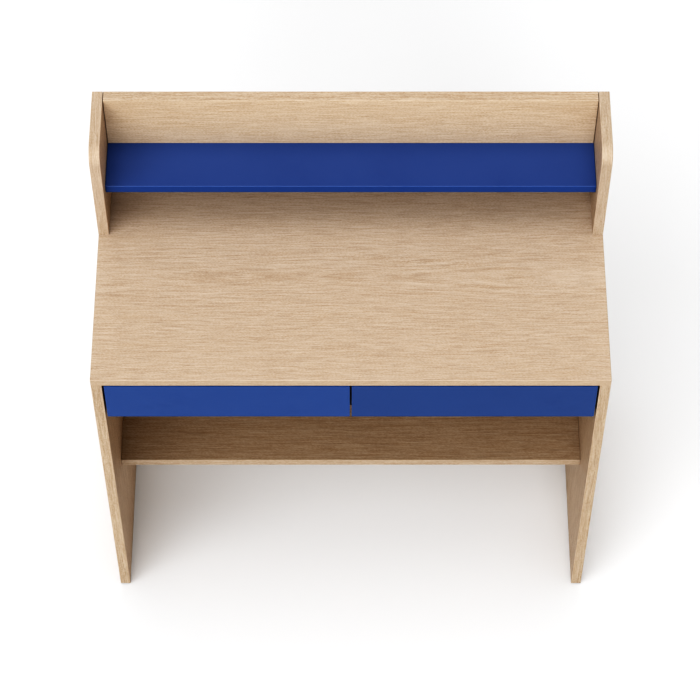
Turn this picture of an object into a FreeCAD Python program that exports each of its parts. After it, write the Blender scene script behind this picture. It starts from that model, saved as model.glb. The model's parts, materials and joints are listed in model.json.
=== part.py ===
import FreeCAD, Part

import math
import os

# Study desk with a bookshelf on its top, two drawers without handles and an open lower shelf.
# Lengths are millimetres. X runs to the right of someone sitting at the desk, Y to the back, Z up.
# The origin lies on the floor under the middle of the desk.

# Desk as a whole
desk_width = 900.0
desk_depth = 445.0
desk_height = 755.0
hutch_height = 236.0
hutch_depth = 140.0

# Board thicknesses
side_thickness = 19.0
top_thickness = 18.0
lower_shelf_thickness = 18.0
rear_thickness = 18.0
divider_thickness = 18.0
hutch_back_thickness = 21.0
hutch_shelf_thickness = 18.0
arris_radius = 1.0
hutch_corner_radius = 30.0

# Places of the boards
lower_shelf_height = 322.0
lower_shelf_setback = 93.0
hutch_shelf_rise = 115.0
hutch_shelf_setback = 24.0
hutch_back_play = 0.5
hutch_shelf_play = 0.3

# Drawer fronts: the gap round them, and the lip that fingers hook behind
reveal = 3.0
front_thickness = 18.0
front_height = 100.0
finger_lip = 12.0
divider_rise = 6.0
divider_front_gap = 2.0

# Drawer boxes
box_headroom = 12.0
box_side_thickness = 12.0
box_back_thickness = 12.0
box_rear_clearance = 7.0
box_arris_radius = 0.5
bottom_thickness = 4.0
bottom_rise = 8.0
bottom_play = 0.2
side_groove_depth = 6.0
front_groove_depth = 8.0

# Ball runners
runner_height = 35.0
runner_rise = 30.0
runner_front_gap = 2.0
rail_sheet = 1.0
ball_radius = 2.0
ball_play = 0.05
balls_in_row = 6
ball_pitch = 16.0
cage_end = 8.2
cage_sheet = 0.5
cage_hole_play = 0.1
cage_screw_gap = 0.5
cage_hook_gap = 0.45
cage_web_gap = 1.65
stop_tab = 1.5
stop_gap = 0.3
stop_tab_height = 12.0
rail_screw_inset = 35.0
rail_screw_stagger = 16.0

# Angles of the rails' hooked edges, in degrees
hook_end_angle = 25.0
quarter_turn = 90.0
half_turn = 180.0

# Rail screws, with pan heads
rail_screw_radius = 1.75
rail_screw_reach = 12.0
rail_screw_head_radius = 3.4
rail_screw_head_height = 1.5

# Countersunk screws of the drawer boxes
box_screw_radius = 1.75
box_screw_length = 30.0
box_screw_head_radius = 3.5
box_screw_head_height = 2.5
bottom_screw_radius = 1.25
bottom_screw_length = 16.0
bottom_screw_head_radius = 2.5
bottom_screw_head_height = 1.5

# Cross recess in a screw or cam
recess_width = 1.0
recess_depth = 0.9
recess_span_share = 0.6

# Cam fittings for the desk's boards
cam_radius = 7.5
cam_distance = 24.0
cam_floor = 5.0
cam_sink = 0.2
cam_play = 0.1
bolt_hole_radius = 4.0
bolt_shank_radius = 3.5
bolt_neck_radius = 2.0
bolt_thread_radius = 2.9
bolt_thread_length = 11.0
bolt_head_length = 3.5
bolt_neck_length = 4.0

# Cam fittings for the thinner drawer sides
small_cam_radius = 6.0
small_cam_distance = 20.0
small_cam_floor = 3.5
small_bolt_hole_radius = 3.0
small_bolt_shank_radius = 2.5
small_bolt_neck_radius = 1.5
small_bolt_head_length = 2.5
small_bolt_neck_length = 3.0

# Dowels
dowel_radius = 4.0
small_dowel_radius = 3.0
dowel_face_depth = 12.0
dowel_edge_depth = 18.0
dowel_play = 0.1
dowel_end_play = 0.5
dowel_chamfer = 0.8

# Where the fittings sit along the boards
dowel_inset = 30.0
cam_inset = 75.0
box_dowel_rise = 22.0
box_cam_rise = 52.0
box_back_screw_drop = 14.0
rear_dowel_shares = (-0.36, -0.12, 0.12, 0.36)
shelf_dowel_shares = (-0.3, 0.0, 0.3)
hutch_bolt_shares = (-0.42, -0.2, 0.2, 0.42)
bottom_screw_shares = (-0.35, 0.0, 0.35)

# Floor glides, each nailed to a leg's lower edge
glide_radius = 8.5
glide_height = 3.0
glide_edge = 0.8
glide_inset = 40.0
nail_radius = 1.2
nail_length = 18.0
nail_play = 0.1
nail_head_radius = 3.0
nail_head_height = 0.8
nail_head_seat = 1.4

overrun = 2.0
joining_tolerance = 0.005

# Planes that the boards share
front_y = -desk_depth / 2
rear_y = desk_depth / 2
side_inner_x = desk_width / 2 - side_thickness
top_under_z = desk_height - top_thickness
rear_inner_y = rear_y - rear_thickness
hutch_front_y = rear_y - hutch_depth
hutch_top_z = desk_height + hutch_height
hutch_back_y = rear_y - hutch_back_thickness
lower_shelf_under_z = lower_shelf_height - lower_shelf_thickness
lower_shelf_front_y = front_y + lower_shelf_setback
hutch_shelf_top_z = desk_height + hutch_shelf_rise
hutch_shelf_under_z = hutch_shelf_top_z - hutch_shelf_thickness
hutch_shelf_front_y = hutch_front_y + hutch_shelf_setback

front_top_z = top_under_z - reveal
front_bottom_z = front_top_z - front_height
front_rear_y = front_y + front_thickness
box_bottom_z = front_bottom_z + finger_lip
box_top_z = front_top_z - box_headroom
box_rear_y = rear_inner_y - box_rear_clearance
runner_z = box_bottom_z + runner_rise
runner_y = front_rear_y + runner_front_gap
runner_length = box_rear_y - runner_y
cage_length = (balls_in_row - 1) * ball_pitch + 2 * cage_end
drawer_travel = runner_length - cage_length - 2 * stop_tab - 2 * stop_gap
cage_y = runner_y + stop_tab + stop_gap + drawer_travel / 2

# A runner's section, measured from the wall that carries it
race_radius = ball_radius + ball_play
hook_radius = race_radius + rail_sheet
ball_z = runner_height / 2 - hook_radius
cage_from_wall = rail_sheet + rail_screw_head_height + cage_screw_gap
ball_from_wall = cage_from_wall + cage_sheet + cage_hook_gap + hook_radius
cage_reach = ball_from_wall + hook_radius
runner_thickness = cage_reach + cage_web_gap + rail_sheet

RIGHT = FreeCAD.Vector(1, 0, 0)
BACK = FreeCAD.Vector(0, 1, 0)
UP = FreeCAD.Vector(0, 0, 1)

boards = {}
cuts = {}
loose = {}


def point(x, y, z):
    return FreeCAD.Vector(x, y, z)


def block(low, high):
    size = high - low
    return Part.makeBox(size.x, size.y, size.z, low)


def block_between(a, b):
    """A block between two opposite corners given in any order."""
    low = point(min(a.x, b.x), min(a.y, b.y), min(a.z, b.z))
    high = point(max(a.x, b.x), max(a.y, b.y), max(a.z, b.z))
    return block(low, high)


def rims(solid):
    """The round edges of a cylinder, without its seam."""
    return [edge for edge in solid.Edges if len(edge.Vertexes) == 1]


def add_board(name, low, high, radius=arris_radius):
    """A board with its arrises rounded."""
    shape = block(low, high)
    boards[name] = shape.makeFillet(radius, shape.Edges)
    cuts[name] = []


def add_loose(node, solid):
    """A small piece that shares its node with others of its kind."""
    loose.setdefault(node, []).append(solid)


def bore(name, start, direction, radius, depth):
    """A blind hole in a board, opened a little before the start so that its mouth is clean."""
    cuts[name].append(Part.makeCylinder(radius, depth + overrun, start - direction * overrun, direction))


def bar(centre, along, across, outward, length, width, height):
    """A block that starts on the plane through centre and grows outward."""
    half_length = along * (length / 2)
    half_width = across * (width / 2)
    corners = [
        centre - half_length - half_width,
        centre + half_length - half_width,
        centre + half_length + half_width,
        centre - half_length + half_width,
    ]
    outline = Part.makePolygon(corners + corners[:1])
    return Part.Face(outline).extrude(outward * height)


def cross_recess(centre, outward, radius, depth=recess_depth):
    """The two crossed slots that a driver turns, cut down from a head's face."""
    first = BACK if abs(outward.dot(BACK)) < abs(outward.dot(UP)) + abs(outward.dot(RIGHT)) else UP
    second = outward.cross(first)
    span = 2 * radius * recess_span_share
    start = centre + outward * overrun
    slots = []
    for along, across in ((first, second), (second, first)):
        slots.append(bar(start, along, across, outward * -1, span, recess_width, depth + overrun))
    return slots[0].fuse(slots[1])


def add_dowel(node, faced, edged, centre, direction, radius=dowel_radius):
    """A dowel across a joint: it stands in one board's face and enters the other board's edge."""
    start = centre - direction * (dowel_face_depth - dowel_end_play)
    length = dowel_face_depth + dowel_edge_depth - 2 * dowel_end_play
    dowel = Part.makeCylinder(radius, length, start, direction)
    add_loose(node, dowel.makeChamfer(dowel_chamfer, rims(dowel)))
    bore(faced, centre, direction * -1, radius + dowel_play, dowel_face_depth)
    bore(edged, centre, direction, radius + dowel_play, dowel_edge_depth)


def add_cam(group, anchor, joined, centre, direction, outward, depth_to_axis, small=False):
    """A cam fitting: a bolt stands in the anchor's face, and a cam in the joined board draws it in."""
    radius = small_cam_radius if small else cam_radius
    distance = small_cam_distance if small else cam_distance
    floor = small_cam_floor if small else cam_floor
    hole = small_bolt_hole_radius if small else bolt_hole_radius
    shank = small_bolt_shank_radius if small else bolt_shank_radius
    neck = small_bolt_neck_radius if small else bolt_neck_radius
    head_length = small_bolt_head_length if small else bolt_head_length
    neck_length = small_bolt_neck_length if small else bolt_neck_length

    shank_length = distance - head_length - neck_length
    bolt = Part.makeCylinder(bolt_thread_radius, bolt_thread_length, centre, direction * -1)
    bolt = bolt.fuse(Part.makeCylinder(shank, shank_length, centre, direction))
    neck_start = centre + direction * shank_length
    bolt = bolt.fuse(Part.makeCylinder(neck, neck_length, neck_start, direction))
    head_start = neck_start + direction * neck_length
    bolt = bolt.fuse(Part.makeCylinder(shank, head_length, head_start, direction))
    add_loose(group + "_cam_bolts", bolt)
    bore(anchor, centre, direction * -1, bolt_thread_radius + cam_play, bolt_thread_length + cam_play)
    bore(joined, centre, direction, hole, distance)

    axis_foot = centre + direction * distance
    mouth = axis_foot + outward * depth_to_axis
    cam_face = mouth - outward * cam_sink
    depth = depth_to_axis + floor
    cam = Part.makeCylinder(radius, depth - cam_sink, cam_face, outward * -1)
    pocket_start = axis_foot - direction * (radius + overrun)
    pocket = Part.makeCylinder(hole, radius + overrun + cam_play, pocket_start, direction)
    cam = cam.cut([pocket, cross_recess(cam_face, outward, radius)])
    add_loose(group + "_cams", cam)
    bore(joined, mouth, outward * -1, radius + cam_play, depth + cam_play)


def pan_screw(seat, direction, reach):
    """A rail screw: its head lies on the seat, and its pointed shank reaches on from there."""
    top = seat - direction * rail_screw_head_height
    head = Part.makeCylinder(rail_screw_head_radius, rail_screw_head_height, top, direction)
    crown = min(rims(head), key=lambda edge: edge.CenterOfMass.dot(direction))
    head = head.makeFillet(rail_screw_head_height / 2, [crown])
    shank_length = reach - rail_screw_radius
    shank = Part.makeCylinder(rail_screw_radius, shank_length, seat, direction)
    tip_start = seat + direction * shank_length
    tip = Part.makeCone(rail_screw_radius, 0, rail_screw_radius, tip_start, direction)
    return head.fuse([shank, tip]).cut(cross_recess(top, direction * -1, rail_screw_head_radius))


def flat_screw(seat, direction, radius, length, head_radius, head_height):
    """A countersunk screw whose head is flush with the seat."""
    head = Part.makeCone(head_radius, radius, head_height, seat, direction)
    shank = Part.makeCylinder(radius, length - radius, seat, direction)
    tip = Part.makeCone(radius, 0, radius, seat + direction * (length - radius), direction)
    return head.fuse([shank, tip]).cut(cross_recess(seat, direction * -1, head_radius))


def countersunk_hole(name, seat, direction, radius, length, head_radius, head_height):
    """The hole of a flush screw, with its countersink, in one board."""
    bore(name, seat, direction, radius + cam_play, length + cam_play)
    slope = (head_radius - radius) / head_height
    wide = head_radius + cam_play + slope * overrun
    sink = Part.makeCone(
        wide, radius + cam_play, head_height + overrun, seat - direction * overrun, direction
    )
    cuts[name].append(sink)


def spread(low, high, inset):
    """Two places, each the same inset in from an end."""
    return (low + inset, high - inset)


def make_boards():
    side_low_z = glide_height
    for name, inner, outer in (
        ("side_panel_left", -side_inner_x, -desk_width / 2),
        ("side_panel_right", side_inner_x, desk_width / 2),
    ):
        low_x, high_x = sorted((inner, outer))
        add_board(name, point(low_x, front_y, side_low_z), point(high_x, rear_y, top_under_z))
    add_board(
        "desktop",
        point(-desk_width / 2, front_y, top_under_z),
        point(desk_width / 2, rear_y, desk_height),
    )
    add_board(
        "lower_shelf",
        point(-side_inner_x, lower_shelf_front_y, lower_shelf_under_z),
        point(side_inner_x, rear_inner_y, lower_shelf_height),
    )
    add_board(
        "rear_panel",
        point(-side_inner_x, rear_inner_y, lower_shelf_under_z),
        point(side_inner_x, rear_y, top_under_z),
    )
    add_board(
        "drawer_divider",
        point(-divider_thickness / 2, front_rear_y + divider_front_gap, front_bottom_z + divider_rise),
        point(divider_thickness / 2, rear_inner_y, top_under_z),
    )
    add_board(
        "hutch_back",
        point(hutch_back_play - side_inner_x, hutch_back_y, desk_height),
        point(side_inner_x - hutch_back_play, rear_y, hutch_top_z),
    )
    add_board(
        "hutch_shelf",
        point(hutch_shelf_play - side_inner_x, hutch_shelf_front_y, hutch_shelf_under_z),
        point(side_inner_x - hutch_shelf_play, hutch_back_y, hutch_shelf_top_z),
    )


def make_hutch_sides():
    """The bookshelf's sides, each with its upper front corner rounded."""
    for name, inner, outer in (
        ("hutch_side_left", -side_inner_x, -desk_width / 2),
        ("hutch_side_right", side_inner_x, desk_width / 2),
    ):
        low_x, high_x = sorted((inner, outer))
        low = point(low_x, hutch_front_y, desk_height)
        shape = block(low, point(high_x, rear_y, hutch_top_z))
        corner = [
            edge
            for edge in shape.Edges
            if abs(edge.CenterOfMass.y - hutch_front_y) < arris_radius
            and abs(edge.CenterOfMass.z - hutch_top_z) < arris_radius
        ]
        shape = shape.makeFillet(hutch_corner_radius, corner)
        boards[name] = shape.makeFillet(arris_radius, shape.Edges)
        cuts[name] = []


def join_sides_to_top():
    for name, sign in (("side_panel_left", -1), ("side_panel_right", 1)):
        x = sign * (desk_width / 2 - side_thickness / 2)
        for y in spread(front_y, rear_y, dowel_inset):
            add_dowel("frame_dowels", "desktop", name, point(x, y, top_under_z), UP * -1)
        for y in spread(front_y, rear_y, cam_inset):
            place = point(x, y, top_under_z)
            add_cam("frame", "desktop", name, place, UP * -1, RIGHT * -sign, side_thickness / 2)


def join_rear_panel():
    y = rear_y - rear_thickness / 2
    for name, sign in (("side_panel_left", -1), ("side_panel_right", 1)):
        for z in spread(lower_shelf_under_z, top_under_z, dowel_inset):
            add_dowel("frame_dowels", name, "rear_panel", point(sign * side_inner_x, y, z), RIGHT * -sign)
        for z in spread(lower_shelf_under_z, top_under_z, cam_inset):
            place = point(sign * side_inner_x, y, z)
            add_cam("frame", name, "rear_panel", place, RIGHT * -sign, BACK, rear_thickness / 2)
    for share in rear_dowel_shares:
        place = point(share * 2 * side_inner_x, y, top_under_z)
        add_dowel("frame_dowels", "desktop", "rear_panel", place, UP * -1)


def join_lower_shelf():
    z = lower_shelf_height - lower_shelf_thickness / 2
    for name, sign in (("side_panel_left", -1), ("side_panel_right", 1)):
        for y in spread(lower_shelf_front_y, rear_inner_y, dowel_inset):
            add_dowel("frame_dowels", name, "lower_shelf", point(sign * side_inner_x, y, z), RIGHT * -sign)
        for y in spread(lower_shelf_front_y, rear_inner_y, cam_inset):
            place = point(sign * side_inner_x, y, z)
            add_cam("frame", name, "lower_shelf", place, RIGHT * -sign, UP * -1, lower_shelf_thickness / 2)
    for share in shelf_dowel_shares:
        place = point(share * 2 * side_inner_x, rear_inner_y, z)
        add_dowel("frame_dowels", "rear_panel", "lower_shelf", place, BACK * -1)


def join_divider():
    low_y = front_rear_y + divider_front_gap
    for y in spread(low_y, rear_inner_y, cam_inset):
        place = point(0, y, top_under_z)
        add_cam("frame", "desktop", "drawer_divider", place, UP * -1, RIGHT * -1, divider_thickness / 2)
    for y in spread(low_y, rear_inner_y, dowel_inset):
        add_dowel("frame_dowels", "desktop", "drawer_divider", point(0, y, top_under_z), UP * -1)
    place = point(0, rear_inner_y, runner_z)
    add_dowel("frame_dowels", "rear_panel", "drawer_divider", place, BACK * -1)


def join_hutch():
    back_y = rear_y - hutch_back_thickness / 2
    shelf_z = hutch_shelf_top_z - hutch_shelf_thickness / 2
    shelf_middle_y = (hutch_shelf_front_y + hutch_back_y) / 2
    for name, sign in (("hutch_side_left", -1), ("hutch_side_right", 1)):
        x = sign * (desk_width / 2 - side_thickness / 2)
        inward = RIGHT * -sign
        for y in (hutch_front_y + dowel_inset, hutch_front_y + cam_inset):
            add_dowel("hutch_dowels", "desktop", name, point(x, y, desk_height), UP)
        for z in spread(desk_height, hutch_top_z, dowel_inset):
            add_dowel("hutch_dowels", name, "hutch_back", point(sign * side_inner_x, back_y, z), inward)
        for z in spread(desk_height, hutch_top_z, cam_inset):
            place = point(sign * side_inner_x, back_y, z)
            add_cam("hutch", name, "hutch_back", place, inward, BACK, hutch_back_thickness / 2)
        for y in (shelf_middle_y - dowel_inset, shelf_middle_y + dowel_inset):
            add_dowel("hutch_dowels", name, "hutch_shelf", point(sign * side_inner_x, y, shelf_z), inward)
        place = point(sign * side_inner_x, shelf_middle_y, shelf_z)
        add_cam("hutch", name, "hutch_shelf", place, inward, UP * -1, hutch_shelf_thickness / 2)
    for share in hutch_bolt_shares:
        place = point(share * 2 * side_inner_x, back_y, desk_height)
        add_cam("hutch", "desktop", "hutch_back", place, UP, BACK, hutch_back_thickness / 2)
    for share in shelf_dowel_shares:
        place = point(share * 2 * side_inner_x, hutch_back_y, shelf_z)
        add_dowel("hutch_dowels", "hutch_back", "hutch_shelf", place, BACK * -1)


def add_glides():
    """Nylon glides, each held to a leg panel by a nail whose head lies in a recess."""
    for name, sign in (("side_panel_left", -1), ("side_panel_right", 1)):
        x = sign * (desk_width / 2 - side_thickness / 2)
        for y in spread(front_y, rear_y, glide_inset):
            floor = point(x, y, 0)
            foot = Part.makeCylinder(glide_radius, glide_height, floor, UP)
            sole = min(rims(foot), key=lambda edge: edge.CenterOfMass.z)
            foot = foot.makeFillet(glide_edge, [sole])
            nail_hole = Part.makeCylinder(nail_radius + nail_play, glide_height, floor, UP)
            recess = Part.makeCylinder(nail_head_radius + nail_play, nail_head_seat, floor, UP)
            add_loose("floor_glides", foot.cut([nail_hole, recess]))
            head_top = floor + UP * nail_head_seat
            nail = Part.makeCylinder(nail_head_radius, nail_head_height, head_top, UP * -1)
            shank_length = nail_length - 2 * nail_radius
            nail = nail.fuse(Part.makeCylinder(nail_radius, shank_length, head_top, UP))
            tip_start = head_top + UP * shank_length
            add_loose(
                "floor_glide_nails",
                nail.fuse(Part.makeCone(nail_radius, 0, 2 * nail_radius, tip_start, UP)),
            )
            nail_reach = nail_head_seat + nail_length - glide_height
            bore(name, floor + UP * glide_height, UP, nail_radius + nail_play, nail_reach + nail_play)


def profile_point(wall_x, sign, y, across, z):
    """A point of a runner's section, measured from the wall that the runner is screwed to."""
    return point(wall_x + sign * across, y, runner_z + z)


def race_arc(wall_x, sign, y, radius, upper, start, end):
    """An arc round the balls' centre, with its angles in degrees from the drawer's side."""
    ends = []
    for angle in (start, (start + end) / 2, end):
        turn = math.radians(angle)
        across = ball_from_wall + radius * math.cos(turn)
        z = ball_z + radius * math.sin(turn)
        ends.append(profile_point(wall_x, sign, y, across, z if upper else -z))
    return Part.Arc(*ends).toShape()


def section(wall_x, sign, y, steps):
    """A closed face from corners and arcs, drawn in the order given."""
    edges = []
    last = None
    first = None
    for step in steps:
        if isinstance(step, tuple):
            start = end = profile_point(wall_x, sign, y, *step)
        else:
            start = step.valueAt(step.FirstParameter)
            end = step.valueAt(step.LastParameter)
        if last is not None and not last.isEqual(start, joining_tolerance):
            edges.append(Part.LineSegment(last, start).toShape())
        if not isinstance(step, tuple):
            edges.append(step)
        first = first or start
        last = end
    edges.append(Part.LineSegment(last, first).toShape())
    return Part.Face(Part.Wire(edges))


def cabinet_rail(wall_x, sign):
    """The fixed rail: a channel whose hooked edges hold the balls from outside, with its two stops."""
    half = runner_height / 2
    under_flange = ball_z + race_radius
    y = runner_y

    def arc(radius, upper, start, end):
        return race_arc(wall_x, sign, y, radius, upper, start, end)

    face = section(
        wall_x,
        sign,
        y,
        [
            (0, -half),
            (0, half),
            arc(hook_radius, True, quarter_turn, hook_end_angle),
            arc(race_radius, True, hook_end_angle, quarter_turn),
            (rail_sheet, under_flange),
            (rail_sheet, -under_flange),
            arc(race_radius, False, quarter_turn, hook_end_angle),
            arc(hook_radius, False, hook_end_angle, quarter_turn),
        ],
    )
    length = runner_length + stop_gap + stop_tab
    rail = face.extrude(BACK * length)
    front_stop = block_between(
        profile_point(wall_x, sign, y, rail_sheet / 2, -stop_tab_height / 2),
        profile_point(wall_x, sign, y + stop_tab, cage_from_wall + cage_sheet, stop_tab_height / 2),
    )
    rear_stop_y = y + runner_length + stop_gap
    rear_stop = block_between(
        profile_point(wall_x, sign, rear_stop_y, rail_sheet / 2, -stop_tab_height / 2),
        profile_point(
            wall_x, sign, rear_stop_y + stop_tab, runner_thickness - rail_sheet, stop_tab_height / 2
        ),
    )
    return rail.fuse([front_stop, rear_stop]).removeSplitter()


def drawer_rail(wall_x, sign):
    """The moving rail: it hooks under the balls from inside and carries the drawer's side."""
    over_flange = ball_z - race_radius
    under_flange = ball_z - hook_radius
    y = runner_y

    def arc(radius, upper, start, end):
        return race_arc(wall_x, sign, y, radius, upper, start, end)

    face = section(
        wall_x,
        sign,
        y,
        [
            (runner_thickness, -over_flange),
            (runner_thickness, over_flange),
            arc(race_radius, True, -quarter_turn, hook_end_angle - half_turn),
            arc(hook_radius, True, hook_end_angle - half_turn, -quarter_turn),
            (runner_thickness - rail_sheet, under_flange),
            (runner_thickness - rail_sheet, -under_flange),
            arc(hook_radius, False, -quarter_turn, hook_end_angle - half_turn),
            arc(race_radius, False, hook_end_angle - half_turn, -quarter_turn),
        ],
    )
    rail = face.extrude(BACK * runner_length)
    tab_y = y + runner_length - stop_tab
    tab_from_wall = cage_from_wall - cage_screw_gap / 2
    tab = block_between(
        profile_point(wall_x, sign, tab_y, tab_from_wall, -stop_tab_height / 2),
        profile_point(
            wall_x, sign, tab_y + stop_tab, runner_thickness - rail_sheet / 2, stop_tab_height / 2
        ),
    )
    return rail.fuse(tab).removeSplitter()


def ball_cage(wall_x, sign):
    """The retainer: a thin channel with a row of ball holes in each flap."""
    half = ball_z + cage_sheet / 2
    face = section(
        wall_x,
        sign,
        cage_y,
        [
            (cage_from_wall, -half),
            (cage_from_wall, half),
            (cage_reach, half),
            (cage_reach, half - cage_sheet),
            (cage_from_wall + cage_sheet, half - cage_sheet),
            (cage_from_wall + cage_sheet, cage_sheet - half),
            (cage_reach, cage_sheet - half),
            (cage_reach, -half),
        ],
    )
    cage = face.extrude(BACK * cage_length)
    holes = []
    for centre in ball_centres(wall_x, sign):
        start = centre - UP * ball_radius
        holes.append(Part.makeCylinder(ball_radius + cage_hole_play, 2 * ball_radius, start, UP))
    return cage.cut(holes)


def ball_centres(wall_x, sign):
    centres = []
    for step in range(balls_in_row):
        y = cage_y + cage_end + step * ball_pitch
        for z in (-ball_z, ball_z):
            centres.append(profile_point(wall_x, sign, y, ball_from_wall, z))
    return centres


def make_runner(drawer, hand, wall, wall_x, sign, box_side, stagger):
    """One ball runner between a wall of the desk and a side of a drawer."""
    fixed = cabinet_rail(wall_x, sign)
    moving = drawer_rail(wall_x, sign)
    middle = runner_length / 2
    inner_face = profile_point(wall_x, sign, 0, rail_sheet, 0).x
    outer_face = profile_point(wall_x, sign, 0, runner_thickness - rail_sheet, 0).x
    into_wall = RIGHT * -sign
    into_box = RIGHT * sign
    for along in (rail_screw_inset, middle, runner_length - rail_screw_inset - rail_screw_stagger):
        seat = point(inner_face, runner_y + along + stagger, runner_z)
        add_loose(drawer + "_cabinet_rail_screws", pan_screw(seat, into_wall, rail_screw_reach))
        drill = Part.makeCylinder(
            rail_screw_radius + cam_play, rail_sheet + 2 * overrun, seat - into_wall * overrun, into_wall
        )
        fixed = fixed.cut(drill)
        screw_depth = rail_screw_reach - rail_sheet + cam_play
        bore(wall, seat + into_wall * rail_sheet, into_wall, rail_screw_radius + cam_play, screw_depth)
    box_reach = box_side_thickness - rail_sheet
    for along in (rail_screw_inset, middle, runner_length - rail_screw_inset):
        seat = point(outer_face, runner_y + along, runner_z)
        add_loose(drawer + "_rail_screws", pan_screw(seat, into_box, box_reach))
        drill = Part.makeCylinder(
            rail_screw_radius + cam_play, rail_sheet + 2 * overrun, seat - into_box * overrun, into_box
        )
        moving = moving.cut(drill)
        screw_depth = box_reach - rail_sheet + cam_play
        bore(box_side, seat + into_box * rail_sheet, into_box, rail_screw_radius + cam_play, screw_depth)
    boards[drawer + "_cabinet_rail_" + hand] = fixed
    boards[drawer + "_rail_" + hand] = moving
    boards[drawer + "_ball_cage_" + hand] = ball_cage(wall_x, sign)
    for centre in ball_centres(wall_x, sign):
        add_loose(drawer + "_bearing_balls", Part.makeSphere(ball_radius, centre))


def make_drawer(drawer, left_wall, right_wall, left_x, right_x, front_left_x, front_right_x):
    """One drawer with its box, its fittings and its two runners."""
    box_left_x = left_x + runner_thickness
    box_right_x = right_x - runner_thickness
    inner_left_x = box_left_x + box_side_thickness
    inner_right_x = box_right_x - box_side_thickness
    middle_x = (inner_left_x + inner_right_x) / 2
    inner_width = inner_right_x - inner_left_x
    bottom_z = box_bottom_z + bottom_rise
    back_z = bottom_z + bottom_thickness + bottom_play
    back_y = box_rear_y - box_back_thickness

    front = drawer + "_front"
    back = drawer + "_back"
    bottom = drawer + "_bottom"
    add_board(
        front,
        point(front_left_x, front_y, front_bottom_z),
        point(front_right_x, front_rear_y, front_top_z),
    )
    sides = (
        (drawer + "_side_left", box_left_x, inner_left_x, 1),
        (drawer + "_side_right", inner_right_x, box_right_x, -1),
    )
    for name, low_x, high_x, inward in sides:
        add_board(
            name,
            point(low_x, front_rear_y, box_bottom_z),
            point(high_x, box_rear_y, box_top_z),
            box_arris_radius,
        )
        groove_x = high_x if inward > 0 else low_x
        cuts[name].append(
            block_between(
                point(groove_x + inward * overrun, front_rear_y - overrun, bottom_z - bottom_play),
                point(groove_x - inward * side_groove_depth, box_rear_y + overrun, back_z),
            )
        )
        axis_x = (low_x + high_x) / 2
        place = point(axis_x, front_rear_y, box_bottom_z + box_dowel_rise)
        add_dowel(drawer + "_dowels", front, name, place, BACK, small_dowel_radius)
        place = point(axis_x, front_rear_y, box_bottom_z + box_cam_rise)
        add_cam(drawer, front, name, place, BACK, RIGHT * inward, box_side_thickness / 2, True)

    add_board(
        back,
        point(inner_left_x, back_y, back_z),
        point(inner_right_x, box_rear_y, box_top_z),
        box_arris_radius,
    )
    axis_y = back_y + box_back_thickness / 2
    for name, low_x, high_x, inward in sides:
        outer_x = low_x if inward > 0 else high_x
        seat = point(outer_x, axis_y, box_top_z - box_back_screw_drop)
        direction = RIGHT * inward
        sizes = (box_screw_radius, box_screw_length, box_screw_head_radius, box_screw_head_height)
        add_loose(drawer + "_back_screws", flat_screw(seat, direction, *sizes))
        countersunk_hole(name, seat, direction, *sizes)
        reach = box_screw_length - box_side_thickness + cam_play
        start = seat + direction * box_side_thickness
        bore(back, start, direction, box_screw_radius + cam_play, reach)

    groove_left_x = inner_left_x - side_groove_depth
    groove_right_x = inner_right_x + side_groove_depth
    groove_y = front_rear_y - front_groove_depth
    boards[bottom] = block(
        point(groove_left_x + bottom_play, groove_y + bottom_play, bottom_z),
        point(groove_right_x - bottom_play, box_rear_y, bottom_z + bottom_thickness),
    )
    cuts[bottom] = []
    cuts[front].append(
        block(
            point(groove_left_x, groove_y, bottom_z - bottom_play),
            point(groove_right_x, front_rear_y + overrun, back_z),
        )
    )
    sizes = (bottom_screw_radius, bottom_screw_length, bottom_screw_head_radius, bottom_screw_head_height)
    for share in bottom_screw_shares:
        seat = point(middle_x + share * inner_width, axis_y, bottom_z)
        add_loose(drawer + "_bottom_screws", flat_screw(seat, UP, *sizes))
        countersunk_hole(bottom, seat, UP, *sizes)
        start = point(seat.x, seat.y, back_z)
        reach = bottom_screw_length - bottom_thickness
        bore(back, start, UP, bottom_screw_radius + cam_play, reach + cam_play)

    stagger_right = rail_screw_stagger if right_wall == "side_panel_right" else 0
    stagger_left = rail_screw_stagger if left_wall == "drawer_divider" else 0
    make_runner(drawer, "left", left_wall, left_x, 1, sides[0][0], stagger_left)
    make_runner(drawer, "right", right_wall, right_x, -1, sides[1][0], stagger_right)


def export_all():
    os.makedirs("parts", exist_ok=True)
    for name, shape in boards.items():
        tools = cuts.get(name)
        if tools:
            shape = shape.cut(tools)
        shape.exportStep("parts/" + name + ".step")
    for name, solids in loose.items():
        Part.makeCompound(solids).exportStep("parts/" + name + ".step")


def main():
    make_boards()
    make_hutch_sides()
    join_sides_to_top()
    join_rear_panel()
    join_lower_shelf()
    join_divider()
    join_hutch()
    add_glides()
    divider_x = divider_thickness / 2
    make_drawer(
        "left_drawer",
        "side_panel_left",
        "drawer_divider",
        -side_inner_x,
        -divider_x,
        reveal - side_inner_x,
        -reveal / 2,
    )
    make_drawer(
        "right_drawer",
        "drawer_divider",
        "side_panel_right",
        divider_x,
        side_inner_x,
        reveal / 2,
        side_inner_x - reveal,
    )
    export_all()
    print("runner length", runner_length, "drawer travel", drawer_travel)


main()
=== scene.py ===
# %% [markdown]
# # A study desk with a bookshelf
# The desk's boards, drawers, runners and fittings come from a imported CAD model, and this lesson gives them
# their looks. The model is loaded first, as a fixed frame in metres: each board already stands in its
# place, so no piece is fitted by eye. X runs to the right of someone sitting at the desk, Y to the back
# and Z up.

# %% The frame
import json
import math
import random

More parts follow.
